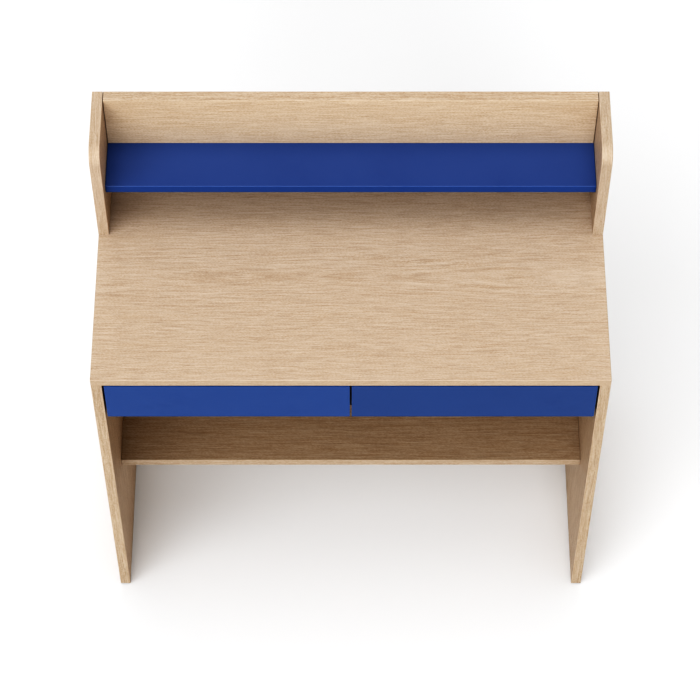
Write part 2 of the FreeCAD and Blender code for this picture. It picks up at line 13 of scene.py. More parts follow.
import bmesh
import bpy
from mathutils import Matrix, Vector

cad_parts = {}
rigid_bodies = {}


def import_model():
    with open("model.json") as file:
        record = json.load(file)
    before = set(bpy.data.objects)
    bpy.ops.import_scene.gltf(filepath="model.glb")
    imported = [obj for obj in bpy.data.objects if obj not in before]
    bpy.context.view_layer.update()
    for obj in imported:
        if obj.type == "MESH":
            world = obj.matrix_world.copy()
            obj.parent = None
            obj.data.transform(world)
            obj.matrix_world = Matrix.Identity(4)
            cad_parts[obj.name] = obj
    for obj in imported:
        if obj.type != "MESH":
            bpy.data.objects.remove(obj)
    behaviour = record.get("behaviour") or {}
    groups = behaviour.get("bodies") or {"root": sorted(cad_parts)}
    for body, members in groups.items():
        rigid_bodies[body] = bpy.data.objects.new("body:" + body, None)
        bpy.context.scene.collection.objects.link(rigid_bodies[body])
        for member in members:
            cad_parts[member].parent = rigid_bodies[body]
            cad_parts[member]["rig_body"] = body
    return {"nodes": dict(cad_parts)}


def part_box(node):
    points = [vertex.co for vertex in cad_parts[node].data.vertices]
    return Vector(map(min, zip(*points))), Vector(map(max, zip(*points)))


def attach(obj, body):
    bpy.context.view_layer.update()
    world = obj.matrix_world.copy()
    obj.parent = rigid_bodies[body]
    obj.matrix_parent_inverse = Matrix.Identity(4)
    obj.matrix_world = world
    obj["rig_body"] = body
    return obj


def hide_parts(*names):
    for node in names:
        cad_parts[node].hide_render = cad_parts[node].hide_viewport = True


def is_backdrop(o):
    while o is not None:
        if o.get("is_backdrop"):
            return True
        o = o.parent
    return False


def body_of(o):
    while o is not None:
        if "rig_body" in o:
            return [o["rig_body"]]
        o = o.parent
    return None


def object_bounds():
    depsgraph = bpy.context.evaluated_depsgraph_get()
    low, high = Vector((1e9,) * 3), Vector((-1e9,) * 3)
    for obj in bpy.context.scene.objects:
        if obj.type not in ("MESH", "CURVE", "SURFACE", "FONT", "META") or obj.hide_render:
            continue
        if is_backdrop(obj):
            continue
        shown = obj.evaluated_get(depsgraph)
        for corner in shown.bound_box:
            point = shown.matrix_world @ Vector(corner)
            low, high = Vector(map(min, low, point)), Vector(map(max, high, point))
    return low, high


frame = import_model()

cad_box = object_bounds()
box_places = 4


def print_box(title, box):
    print(title, [round(value, box_places) for corner in box for value in corner])


print_box("The CAD box:", cad_box)

# %% [markdown]
# ## The camera
# The photograph looks down on the desk through a long lens, so its upright edges lean together only a
# little. The camera could be turned by eye, but its focal length, pitch and place were solved together from
# about forty edges in the picture, which leaves less than a third of a pixel. The lens is worked out from
# the focal length in pixels, and a very small shift takes up how far the desk stands off the middle.

# %% The camera
picture_side = 700.0
focal_length_pixels = 2710.61
picture_offset_pixels = -0.75
sensor_width = 36.0
camera_pitch = math.radians(57.51)
camera_place = (0, -2.68752, 4.72337)
far_limit = 200.0
quarter_turn = math.pi / 2

camera_data = bpy.data.cameras.new("camera")
camera_data.sensor_width = sensor_width
camera_data.lens = sensor_width * focal_length_pixels / picture_side
camera_data.shift_x = picture_offset_pixels / picture_side
camera_data.clip_end = far_limit
camera = bpy.data.objects.new("camera", camera_data)
camera.location = camera_place
camera.rotation_euler = (quarter_turn - camera_pitch, 0, 0)
bpy.context.scene.collection.objects.link(camera)
bpy.context.scene.camera = camera
print("The lens:", round(camera_data.lens, 1), "mm on a sensor of", sensor_width, "mm")

# %% [markdown]
# ## Sums of sockets
# A material is a tree of nodes, and its patterns are mostly sums: a mask times a depth, one minus a mask.
# Drawing each Math node by hand hides the sum, so a small class wraps a socket and lets Python's own
# operators add the nodes. Every other node comes from one method, which takes the node's type, its
# settings and what goes into its sockets. The same two classes serve materials and Geometry Nodes.

# %% A socket that adds up
def operator(operation, reflected=False):
    """A Python operator that adds a Math node, reflected where a number stands before the socket."""

    def apply(self, *others):
        terms = (*others, self) if reflected else (self, *others)
        return self.nodes.sum(operation, *terms)

    return apply


class Field:
    """A socket that can stand in a Python sum."""

    __add__ = operator("ADD")
    __radd__ = operator("ADD", reflected=True)
    __sub__ = operator("SUBTRACT")
    __rsub__ = operator("SUBTRACT", reflected=True)
    __mul__ = operator("MULTIPLY")
    __rmul__ = operator("MULTIPLY", reflected=True)
    __truediv__ = operator("DIVIDE")
    __gt__ = operator("GREATER_THAN")
    __lt__ = operator("LESS_THAN")
    __abs__ = operator("ABSOLUTE")

    def __init__(self, nodes, socket):
        self.nodes = nodes
        self.socket = socket

    def math(self, operation, *terms):
        return self.nodes.sum(operation, self, *terms)


# %% A tree of nodes
class Nodes:
    """A tree of nodes being written."""

    def __init__(self, tree):
        self.tree = tree

    def add(self, kind, settings, sockets):
        """Adds a node: its settings come first, because they decide which sockets it has."""
        node = self.tree.nodes.new(kind)
        for name, value in settings.items():
            setattr(node, name, value)
        self.plug(node, sockets)
        return node

    def plug(self, node, sockets):
        """Links or sets a node's sockets, which go by their identifier, their name or their number."""
        for key, value in sockets.items():
            matches = [socket for socket in node.inputs if socket.identifier == key]
            target = matches[0] if matches else node.inputs[key]
            if isinstance(value, Field):
                self.tree.links.new(value.socket, target)
            else:
                target.default_value = value

    def field(self, kind, output, settings={}, **sockets):
        """Adds a node and gives one of its outputs, by name."""
        node = self.add(kind, settings, {name.replace("_", " "): value for name, value in sockets.items()})
        return Field(self, node.outputs[output])

    def sum(self, operation, *terms):
        node = self.add("ShaderNodeMath", {"operation": operation}, dict(enumerate(terms)))
        return Field(self, node.outputs["Value"])

    def vector(self, x, y, z):
        return self.field("ShaderNodeCombineXYZ", "Vector", X=x, Y=y, Z=z)

    def split(self, vector):
        """The three parts of a vector, by the letter of their axis."""
        node = self.add("ShaderNodeSeparateXYZ", {}, {"Vector": vector})
        return {axis: Field(self, node.outputs[axis]) for axis in "XYZ"}

    def rise(self, value, low, high):
        """Zero below low, one above high, and smooth between them."""
        smooth = {"interpolation_type": "SMOOTHSTEP"}
        return self.field("ShaderNodeMapRange", "Result", smooth, Value=value, From_Min=low, From_Max=high)


# %% [markdown]
# ## A material being made
# Every finish of the desk is one Principled shader with patterns in its colour, its roughness and its
# bump. The patterns read the object's own coordinates, in metres, so a streak that is set to be six
# millimetres wide is six millimetres wide, and it stays on the board when a drawer slides.

# %% A finish
ior_of_varnish = 1.5
usual_specular = 0.5
noise_mean = 0.5
noise_roughness = 0.5
arris_flatness_range = (0.80, 0.97)
opaque = 1.0


class Finish(Nodes):
    """A material being made."""

    def __init__(self, name, metallic=0.0, specular=usual_specular):
        self.material = bpy.data.materials.new(name)
        self.material.use_nodes = True
        super().__init__(self.material.node_tree)
        self.shader = self.tree.nodes["Principled BSDF"]
        self.plug(self.shader, {"Metallic": metallic, "Specular IOR Level": specular, "IOR": ior_of_varnish})
        coordinates = self.add("ShaderNodeTexCoord", {}, {})
        self.place = self.split(Field(self, coordinates.outputs["Object"]))
        self.facing = self.split(Field(self, coordinates.outputs["Normal"]))

    def noise(self, x, y, z, detail=0.0, roughness=noise_roughness):
        """Smooth noise round its mean, at a place counted in features, not metres."""
        place = self.vector(x, y, z)
        return self.field(
            "ShaderNodeTexNoise", "Fac", Vector=place, Scale=1.0, Detail=detail, Roughness=roughness
        )

    def cloud(self, size, detail=0.0):
        """Noise that is the same in every direction, with features of one size in metres."""
        x, y, z = (self.place[axis] / size for axis in "XYZ")
        return self.noise(x, y, z, detail)

    def blend(self, share, first, second, mode="MIX"):
        """One colour passing into another: each is a pattern, or plain red, green and blue."""
        ends = (first, second)
        first, second = (end if isinstance(end, Field) else (*end, opaque) for end in ends)
        settings = {"data_type": "RGBA", "blend_type": mode}
        sockets = {"Factor_Float": share, "A_Color": first, "B_Color": second}
        node = self.add("ShaderNodeMix", settings, sockets)
        result = [socket for socket in node.outputs if socket.identifier == "Result_Color"]
        return Field(self, result[0])

    def tinted(self, colour, tint, share=1.0):
        """A colour multiplied by a tint, where the share is one."""
        return self.blend(share, colour, tint, "MULTIPLY")

    def arris(self, through):
        """One on the rounded arris between a board's face and its edge. Through is the axis through it."""
        to_face = abs(self.facing[through])
        to_edge = (1 - to_face * to_face).math("MAXIMUM", 0).math("SQRT")
        flatness = to_face.math("MAXIMUM", to_edge)
        return 1 - self.rise(flatness, *arris_flatness_range)

    def surface(self, colour, roughness, height=None, depth=0.0):
        """Gives the shader its colour, roughness and, where a height is given, its bump."""
        targets = {"Base Color": colour, "Roughness": roughness}
        if height is not None:
            targets["Normal"] = self.field("ShaderNodeBump", "Normal", Height=height, Distance=depth)
        self.plug(self.shader, targets)
        return self.material


# %% A better material for a CAD node
node_slots = {node: piece.data.materials[0].name for node, piece in frame["nodes"].items()}


def dress(node, material):
    """Gives a CAD node a better material."""
    slots = frame["nodes"][node].data.materials
    slots.clear()
    slots.append(material)


print("CAD nodes:", len(node_slots))

# %% [markdown]
# ## The floor and the light
# The photograph is a studio picture: a pale floor without an edge, bright upright faces, and a deep soft
# shade under every shelf. A real studio makes this with a pale sweep and large soft boxes above, low in
# front, to the left and behind. Here a world gives the even part, and suns with very wide discs are the
# soft boxes. A studio's far wall is lit on its own, so the world looks white where the camera sees it and
# lights the desk with less than half of that.

# %% The floor
def add_mesh(name, corners, faces):
    """A mesh object at the origin."""
    mesh = bpy.data.meshes.new(name)
    mesh.from_pydata(corners, [], faces)
    piece = bpy.data.objects.new(name, mesh)
    bpy.context.scene.collection.objects.link(piece)
    return piece


floor_reach = 60.0
floor_pale = (0.748, 0.759, 0.779, opaque)
floor_roughness = 0.95
floor_corners = [(x * floor_reach, y * floor_reach, 0) for x, y in ((-1, -1), (1, -1), (1, 1), (-1, 1))]
floor = add_mesh("floor", floor_corners, [range(len(floor_corners))])
floor.data.materials.append(Finish("studio_floor", specular=0.0).surface(floor_pale, floor_roughness))
floor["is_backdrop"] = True
print("The floor reaches", floor_reach, "m each way")

# %% The world
world_colour = (1.03, 1.0, 0.95, opaque)
world_light = 0.50
world_seen = 1.10

world = bpy.data.worlds.new("studio")
world.use_nodes = True
nodes = Nodes(world.node_tree)
seen = nodes.field("ShaderNodeLightPath", "Is Camera Ray")
strength = seen * (world_seen - world_light) + world_light
nodes.plug(world.node_tree.nodes["Background"], {"Color": world_colour, "Strength": strength})
bpy.context.scene.world = world
print("The world lights with", world_light, "and is seen as", world_seen)

# %% The soft boxes
soft_spread = math.radians(35)
soft_boxes = {
    "top": {"azimuth": 0, "elevation": 90, "strength": 1.20},
    "front": {"azimuth": -3, "elevation": 25, "strength": 1.76},
    "left": {"azimuth": -45, "elevation": 47, "strength": 1.28},
    "back": {"azimuth": 180, "elevation": 20, "strength": 0.80},
}


def add_soft_box(name, azimuth, elevation, strength):
    """A sun with a wide disc. Azimuth 0 shines from the front, and minus 90 degrees from the left."""
    data = bpy.data.lights.new(name, "SUN")
    data.energy = strength
    data.angle = soft_spread
    light = bpy.data.objects.new(name, data)
    light.rotation_euler = (quarter_turn - math.radians(elevation), 0, math.radians(azimuth))
    bpy.context.scene.collection.objects.link(light)


for name, facts in soft_boxes.items():
    add_soft_box(name, **facts)
print("Soft boxes:", list(soft_boxes))

# %% [markdown]
# ## The film's curve
# A printed picture has more contrast than the light that made it: its shade is deeper, and its colours are
# stronger in the shade than in the light. Darker materials would lose the light parts, so the contrast
# comes after the light, as in a darkroom. The plain Standard view keeps white white, and a curve shaped
# like a film's raises each value to a power and then lets it level off towards white.

# %% The curve
curve_power = 2.0
curve_shoulder = 0.80
curve_steps = 24
curve_crowding = 2
curve_of_all_colours = 3
middle_grey = 0.18


def print_curve(value):
    """How light a print shows a value."""
    raised = value ** curve_power
    return (1 + curve_shoulder) * raised / (raised + curve_shoulder)


view = bpy.context.scene.view_settings
view.view_transform = "Standard"
view.use_curve_mapping = True
curve = view.curve_mapping.curves[curve_of_all_colours]
for step in range(1, curve_steps):
    value = (step / curve_steps) ** curve_crowding
    curve.points.new(value, print_curve(value))
view.curve_mapping.update()
print("Middle grey becomes", round(print_curve(middle_grey), 3))

# %% [markdown]
# ## Where a point lies on a board
# A veneered board has two broad faces whose grain runs one way, and bands glued round its edges whose grain
# runs along the band. One flat pattern pushed through the whole board would show end grain on the edges,
# as solid wood does. So the place of a point is worked out afresh for each side of the board: how far it
# lies along the grain, how far across it, and in which layer of the pattern, and the side is known from
# where the surface faces.

# %% Places on a board
facing_share = 0.5
face_layer = 3.1
edge_layer = 5.3
end_layer = 8.7


def board_place(finish, axes, band=None):
    """Along the grain, across it, and the layer, with one on broad faces and zero on the bands.

    Axes names the grain's axis, the one across it and the one through the board. A band that bends round
    a corner gives its own run."""
    run, width, depth = (finish.place[axis] for axis in axes)
    faces_run, faces_width, faces_depth = (abs(finish.facing[axis]) for axis in axes)
    on_end = (faces_run > faces_width) * (faces_run > faces_depth)
    on_face = 1 - (faces_run.math("MAXIMUM", faces_width) > faces_depth)
    band_run = band if band is not None else run + (width - run) * on_end
    along = band_run + (run - band_run) * on_face
    across = depth + (width - depth) * on_face
    front_face = (finish.facing[axes[2]] > 0) * face_layer
    layer = front_face + (1 - on_face) * edge_layer
    if band is None:
        layer = layer + on_end * end_layer
    return along, across, layer, on_face


def end_gap(finish, node, axis):
    """How far a point lies from the nearer of a board's two ends along an axis."""
    low, high = (corner["XYZ".index(axis)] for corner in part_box(node))
    return (finish.place[axis] - low).math("MINIMUM", high - finish.place[axis])


def past_corner(finish, node, corner):
    """How far a point lies in front of and above the centre of a rounded upper front corner."""
    low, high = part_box(node)
    ahead = (low.y + corner - finish.place["Y"]).math("MAXIMUM", 0)
    above = (finish.place["Z"] - (high.z - corner)).math("MAXIMUM", 0)
    return ahead, above


def outline_gap(finish, node, axes, corner):
    """How far a point of a broad face lies from the board's outline, which may have a rounded corner."""
    gap = end_gap(finish, node, axes[0]).math("MINIMUM", end_gap(finish, node, axes[1]))
    if corner:
        ahead, above = past_corner(finish, node, corner)
        gap = gap.math("MINIMUM", corner - (ahead * ahead + above * above).math("SQRT"))
    return gap


def corner_band(finish, node, corner):
    """The run of a band that comes up the front edge, bends round the corner and goes back on top.

    The rear edge has a band of its own, which runs straight up."""
    low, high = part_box(node)
    ahead, above = past_corner(finish, node, corner)
    bend = above.math("ARCTAN2", ahead) * corner
    behind = (finish.place["Y"] - (low.y + corner)).math("MAXIMUM", 0)
    below = (high.z - corner - finish.place["Z"]).math("MAXIMUM", 0)
    run = behind + bend - below
    on_rear = finish.facing["Y"] > facing_share
    return run + (finish.place["Z"] - run) * on_rear


# %% [markdown]
# ## Oak veneer
# The boards are veneered with light oak under a matt varnish. Close up, oak is built in layers: growth
# rings that run along the board and wander a little, lines and fibres about a millimetre apart in them,
# short flecks, thin dark rows of open pores, and pale strokes where the wood's rays come to the surface.
# A picture of a board could be wrapped on, but it would repeat and end at the edges, so each layer is a
# stretched noise with its own length and width. The rings are the distance from a tilted heart line, as in
# a real trunk, so the lines open and close slowly along the board. No two sheets of veneer are alike: each
# board's faces and bands have a tint of their own, and some have a stronger grain. The tints are partly the
# veneer's own tone and partly painted light and shade: the lower shelf, which lies in shade, is darker, and
# the bookshelf's back and its left side are lighter. The rounded arrises get a painted highlight. The ends
# of the bookshelf's back and the bands of the divider between the drawers are darkened as painted shade, for
# the shadow in the joints and in the gap between the drawer fronts.

# %% The oak's layers
oak_cream = (0.530, 0.443, 0.366)
oak_brown = (0.343, 0.245, 0.164)
oak_tan = (0.430, 0.322, 0.214)
oak_pore = (0.195, 0.136, 0.090)
# Pale rays, and also the painted highlight on the rounded arrises.
oak_ray_and_highlight = (0.613, 0.550, 0.483)
oak_shade = (0.030, 0.020, 0.012)

row_offset = 0.62
streak_detail = 2.0
fine_detail = 3.0
line_roughness = 0.6
oak_layers = {
    "drift": {"length": 0.30, "width": 0.07, "detail": streak_detail},
    "ripple": {"length": 0.055, "width": 0.016, "detail": streak_detail},
    "streak": {"length": 0.20, "width": 0.0065, "detail": streak_detail},
    "line": {"length": 0.12, "width": 0.0013, "detail": fine_detail, "roughness": line_roughness},
    "fleck": {"length": 0.0034, "width": 0.0014, "detail": streak_detail},
    "fibre": {"length": 0.042, "width": 0.00080, "detail": streak_detail},
    "patch": {"length": 0.45, "width": 0.05, "detail": fine_detail},
    "ray": {"length": 0.024, "width": 0.0012},
    "pore": {"length": 0.030, "width": 0.00065},
}


def grain(finish, along, across, layer, length, width, detail=0.0, roughness=noise_roughness):
    """Noise stretched along the grain, with features of a length and a width in metres.

    The rows are set off against each other, or the features would line up across the board."""
    row = across / width
    return finish.noise(along / length + row * row_offset, row, layer, detail, roughness)


print("Layers of oak:", list(oak_layers))

# %% The oak's finish
drift_reach = 0.018
ripple_reach = 0.0018
heart_depth_range = (0.05, 0.12)
heart_tilt_range = (0.012, 0.03)
layer_span = 40.0

streak_share = 0.03
line_share = 0.33
fleck_share = 0.34
fibre_share = 0.30
tone_contrast = 4.0
tone_mean_share = 0.64

patch_range = (0.52, 0.78)
patch_share = 0.40
ray_range = (0.62, 0.72)
ray_share = 0.28
pore_range = (0.60, 0.68)
pore_share = 0.42
pores_closed_share = 0.5
# How strongly the rounded arrises are lightened, as a painted highlight.
arris_highlight_share = 0.46

seam_inset = 0.0011
seam_width = 0.00018
seam_share = 0.35
# Painted shade at the ends of the bookshelf's back, where its joints with the sides lie in shadow.
joint_shade_width = 0.0006
joint_shade_share = 0.85

oak_roughness = 0.50
oak_roughness_span = 0.14
oak_specular = 0.32
oak_relief = 0.00006


def oak_finish(node, axes, faces, bands, contrast=1.0, corner=0.0, dark_ends=None):
    """Oak veneer for one board, with its own place in the tree and tints for its faces and its bands."""
    draw = random.Random("oak " + node)
    heart = draw.uniform(-layer_span, layer_span) * oak_layers["line"]["width"]
    heart_depth = draw.uniform(*heart_depth_range)
    heart_tilt = draw.uniform(*heart_tilt_range) * draw.choice((-1, 1))
    first_layer = draw.uniform(0, layer_span)

    finish = Finish("oak_" + node, specular=oak_specular)
    band = corner_band(finish, node, corner) if corner else None
    along, across, layer, on_face = board_place(finish, axes, band)
    layer = layer + first_layer

    def pattern(name, sideways):
        return grain(finish, along, sideways, layer, **oak_layers[name])

    drift = pattern("drift", across) - noise_mean
    ripple = pattern("ripple", across) - noise_mean
    wandering = across + drift * drift_reach + ripple * ripple_reach
    sideways = wandering - heart
    downwards = along * heart_tilt + heart_depth
    ring = (sideways * sideways + downwards * downwards).math("SQRT")

    streak = pattern("streak", ring)
    line = pattern("line", ring)
    fleck = pattern("fleck", wandering)
    fibre = pattern("fibre", wandering)
    mixed = streak * streak_share + line * line_share + fleck * fleck_share + fibre * fibre_share
    tone = (mixed - noise_mean) * (tone_contrast * contrast) + tone_mean_share
    tone = tone.math("MAXIMUM", 0).math("MINIMUM", 1)
    colour = finish.blend(tone, oak_brown, oak_cream)

    tan = finish.rise(pattern("patch", ring), *patch_range) * (1 - tone) * patch_share
    colour = finish.blend(tan, colour, oak_tan)
    rays = finish.rise(pattern("ray", wandering), *ray_range) * ray_share
    colour = finish.blend(rays, colour, oak_ray_and_highlight)
    pores = finish.rise(pattern("pore", wandering), *pore_range) * (1 - streak * pores_closed_share)
    colour = finish.blend(pores * pore_share, colour, oak_pore)
    # Painted highlight: the rounded arrises are blended towards the pale ray colour, as if they caught the
    # light.
    colour = finish.blend(finish.arris(axes[2]) * arris_highlight_share, colour, oak_ray_and_highlight)

    gap = outline_gap(finish, node, axes, corner)
    seam = (abs(gap - seam_inset) < seam_width / 2) * on_face
    colour = finish.blend(seam * seam_share, colour, oak_pore)
    # Painted shade: a dark line along the board's two ends, for the shadow in the joint.
    if dark_ends:
        dark = end_gap(finish, node, dark_ends) < joint_shade_width
        colour = finish.blend(dark * joint_shade_share, colour, oak_shade)
    colour = finish.tinted(colour, finish.blend(on_face, bands, faces))

    roughness = oak_roughness + (1 - tone) * oak_roughness_span
    height = fibre * fibre_share + line * line_share - pores - seam
    return finish.surface(colour, roughness, height, oak_relief)


# %% The oak boards
hutch_corner_radius = 0.030
# The tints are partly the veneer's own tone and partly painted light and shade: darker on the lower shelf,
# which lies in shade, lighter on the bookshelf's back and left side, and warmer on the legs' shaded faces.
oak_boards = {
    "desktop": {"axes": "XYZ", "faces": (1.03, 1.03, 1.03), "bands": (0.92, 0.90, 0.85)},
    "lower_shelf": {"axes": "XYZ", "faces": (0.84, 0.80, 0.73), "bands": (0.86, 0.84, 0.79)},
    "rear_panel": {"axes": "XZY", "faces": (1.02, 0.99, 0.92), "bands": (0.90, 0.88, 0.83)},
    "hutch_back": {"axes": "XZY", "faces": (1.15, 1.14, 1.075), "bands": (0.98, 0.97, 0.94)},
    "side_panel_left": {"axes": "ZYX", "faces": (1.08, 1.00, 0.89), "bands": (0.90, 0.88, 0.82)},
    "side_panel_right": {"axes": "ZYX", "faces": (1.02, 0.98, 0.91), "bands": (0.88, 0.86, 0.80)},
    # Painted shade: the divider's bands are nearly black, for the deep shade in the gap between the drawer
    # fronts.
    "drawer_divider": {"axes": "YZX", "faces": (1.00, 0.98, 0.94), "bands": (0.30, 0.29, 0.30)},
    "hutch_side_left": {"axes": "ZYX", "faces": (1.19, 1.11, 0.98), "bands": (0.98, 0.98, 0.97)},
    "hutch_side_right": {"axes": "ZYX", "faces": (1.06, 1.03, 0.96), "bands": (0.945, 0.955, 0.95)},
}
stronger_grain = {"lower_shelf": 1.25, "hutch_back": 1.35, "side_panel_left": 1.3, "side_panel_right": 1.3}
for node, contrast in stronger_grain.items():
    oak_boards[node]["contrast"] = contrast
for node in ("hutch_side_left", "hutch_side_right"):
    oak_boards[node]["corner"] = hutch_corner_radius
# The bookshelf's back gets painted shade at both ends.
oak_boards["hutch_back"]["dark_ends"] = "X"
for node, facts in oak_boards.items():
    dress(node, oak_finish(node, **facts))
print("Oak boards:", len(oak_boards))

# %% [markdown]
# ## Blue lacquer
# The bookshelf's shelf and the drawer fronts are sprayed with a deep blue satin lacquer. Sprayed paint isn't
# perfectly flat: it dries with a very fine skin like orange peel, and its gloss changes a little from place
# to place. The rounded arrises get a painted highlight in a paler blue, and the edges are a deeper blue.
# Each board has its own tint, partly painted light: the shelf is lighter and the right drawer front darker.
# Without these small things, the boards look like plastic film.

# %% The lacquer
lacquer_blue = (0.034, 0.086, 0.245)
lacquer_deep = (0.029, 0.075, 0.222)
# A paler blue for the painted highlight on the arrises.
lacquer_highlight = (0.080, 0.155, 0.380)
lacquer_cloud = 0.14
lacquer_peel = 0.0016
lacquer_speck = 0.0005
lacquer_relief = 0.000012
lacquer_roughness = 0.30
lacquer_roughness_span = 0.12
lacquer_highlight_share = 0.55
deeper_edge_tint = (0.50, 0.82, 0.97)
# The tints are partly painted light: the shelf is lighter and redder, as if lit more, and the right drawer
# front is darker, as painted shade.
blue_boards = {
    "hutch_shelf": {"through": "Z", "specular": 0.35, "tint": (1.55, 1.13, 1.05)},
    "left_drawer_front": {"through": "Y", "specular": 0.25, "tint": (0.97, 0.97, 0.97)},
    "right_drawer_front": {"through": "Y", "specular": 0.25, "tint": (0.85, 0.85, 0.85)},
}


def lacquer_finish(node, through, specular, tint):
    finish = Finish("lacquer_" + node, specular=specular)
    cloud = finish.cloud(lacquer_cloud, fine_detail)
    colour = finish.tinted(finish.blend(cloud, lacquer_deep, lacquer_blue), tint)
    on_edge = abs(finish.facing[through]) < facing_share
    # The edges are a deeper, stronger blue.
    colour = finish.tinted(colour, deeper_edge_tint, on_edge)
    # Painted highlight: the rounded arrises are blended towards a paler blue, as if they caught the light.
    colour = finish.blend(finish.arris(through) * lacquer_highlight_share, colour, lacquer_highlight)
    speck = finish.cloud(lacquer_speck)
    roughness = lacquer_roughness + (cloud + speck - 2 * noise_mean) * lacquer_roughness_span
    height = finish.cloud(lacquer_peel, streak_detail)
    return finish.surface(colour, roughness, height, lacquer_relief)


for node, facts in blue_boards.items():
    dress(node, lacquer_finish(node, **facts))
print("Blue boards:", len(blue_boards))

# %% [markdown]
# ## Birch plywood
# The drawer boxes are birch plywood. Its broad faces are pale and almost plain, and its edges show the
# plies, light and dark by turns because their grain runs along and across by turns, with a thin dark glue
# line between them. The stripes come from the distance through the board divided by a ply's thickness.

# %% The plywood
birch_pale = (0.700, 0.585, 0.435)
birch_warm = (0.600, 0.470, 0.320)
birch_dark_ply = (0.480, 0.330, 0.195)
birch_glue = (0.170, 0.105, 0.060)
birch_layers = {
    "flame": {"length": 0.16, "width": 0.012, "detail": fine_detail},
    "fleck": {"length": 0.004, "width": 0.0005},
}
birch_fleck_range = (0.62, 0.74)
birch_fleck_share = 0.30
birch_roughness = 0.52
birch_roughness_span = 0.10
birch_specular = 0.30
birch_relief = 0.00003
glue_share = 0.09
ply_middle = 0.5
bottom_thickness = 0.004
bottom_plies = 3
ply_thickness = bottom_thickness / bottom_plies
drawers = ("left_drawer", "right_drawer")
ply_boards = {"side_left": "YZX", "side_right": "YZX", "back": "XZY", "bottom": "XYZ"}


def birch_finish(node, axes):
    draw = random.Random("birch " + node)
    finish = Finish("birch_" + node, specular=birch_specular)
    along, across, layer, on_face = board_place(finish, axes)
    layer = layer + draw.uniform(0, layer_span)
    flame, fleck = (grain(finish, along, across, layer, **facts) for facts in birch_layers.values())
    flecks = finish.rise(fleck, *birch_fleck_range)
    face = finish.blend(flame, birch_warm, birch_pale)
    face = finish.blend(flecks * birch_fleck_share, face, birch_dark_ply)

    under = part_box(node)[0]["XYZ".index(axes[2])]
    plies = (finish.place[axes[2]] - under) / ply_thickness
    from_middle = abs(plies.math("PINGPONG", 1) - ply_middle)
    glue = 1 - finish.rise(ply_middle - from_middle, 0, glue_share)
    odd = plies.math("MODULO", 2) > 1
    edge = finish.blend(odd, face, birch_dark_ply)
    edge = finish.blend(glue, edge, birch_glue)
    colour = finish.blend(on_face, edge, face)
    roughness = birch_roughness + (1 - flame) * birch_roughness_span
    return finish.surface(colour, roughness, flame - flecks, birch_relief)


for drawer in drawers:
    for part, axes in ply_boards.items():
        node = drawer + "_" + part
        dress(node, birch_finish(node, axes))
print("Plywood boards:", len(drawers) * len(ply_boards))

# %% [markdown]
# ## Metal, nylon and beech
# The runners are zinc-plated sheet steel, with a fine brushed line and a faint cloud in the plating. The
# cams are die-cast zinc, duller and grainy. The balls are polished steel, the floor glides white nylon and
# the dowels beech, pinkish and full of short dark flecks.

# %% The small finishes
metals = {
    "zinc_plated_steel": {
        "light": (0.620, 0.630, 0.650), "dark": (0.460, 0.470, 0.495), "size": 0.015, "roughness": 0.30,
        "span": 0.16, "relief": 0.000006, "brush_length": 0.05,
    },
    "cast_zinc": {
        "light": (0.460, 0.465, 0.475), "dark": (0.300, 0.305, 0.320), "size": 0.0007, "roughness": 0.46,
        "span": 0.20, "relief": 0.00003,
    },
    "polished_steel": {
        "light": (0.720, 0.725, 0.740), "dark": (0.620, 0.625, 0.645), "size": 0.002, "roughness": 0.09,
        "span": 0.05,
    },
}
brush_width = 0.0004
brush_share = 0.5
nylon_white = (0.780, 0.770, 0.740)
nylon_grey = (0.680, 0.670, 0.640)
nylon_cloud = 0.004
nylon_roughness = 0.45
nylon_roughness_span = 0.12
nylon_relief = 0.00002
nylon_specular = 0.4
beech_pink = (0.560, 0.375, 0.235)
beech_brown = (0.420, 0.260, 0.150)
beech_fleck_length = 0.0022
beech_fleck_width = 0.0004
beech_roughness = 0.58
beech_roughness_span = 0.10
beech_relief = 0.00004


def metal_finish(name, light, dark, size, roughness, span, relief=0.0, brush_length=0.0):
    """Bare or plated metal: cloudy, and brushed where the brush's marks have a length."""
    finish = Finish(name, metallic=1.0)
    cloud = finish.cloud(size, fine_detail)
    lines = cloud
    if brush_length:
        x, y, z = (finish.place[axis] for axis in "XYZ")
        lines = finish.noise(x / brush_width, y / brush_length, z / brush_width)
    tone = cloud * (1 - brush_share) + lines * brush_share
    colour = finish.blend(tone, dark, light)
    return finish.surface(colour, roughness + (tone - noise_mean) * span, lines, relief)


def nylon_finish():
    finish = Finish("nylon", specular=nylon_specular)
    cloud = finish.cloud(nylon_cloud, fine_detail)
    colour = finish.blend(cloud, nylon_grey, nylon_white)
    return finish.surface(colour, nylon_roughness + cloud * nylon_roughness_span, cloud, nylon_relief)


def beech_finish():
    finish = Finish("beech")
    x, y, z = (finish.place[axis] / beech_fleck_width for axis in "XYZ")
    fleck = finish.noise(x * beech_fleck_width / beech_fleck_length, y, z, streak_detail)
    colour = finish.blend(fleck, beech_brown, beech_pink)
    return finish.surface(colour, beech_roughness + fleck * beech_roughness_span, fleck, beech_relief)


steel, cast_zinc, ball_steel = (metal_finish(name, **facts) for name, facts in metals.items())
nylon = nylon_finish()
beech = beech_finish()
slot_finishes = {
    "zinc_steel": steel,
    "zinc_casting": cast_zinc,
    "bearing_steel": ball_steel,
    "white_nylon": nylon,
    "beech_dowel": beech,
}
small_nodes = [node for node, slot_name in node_slots.items() if slot_name in slot_finishes]
for node in small_nodes:
    dress(node, slot_finishes[node_slots[node]])
print("Small pieces with metal, nylon or beech:", len(small_nodes))

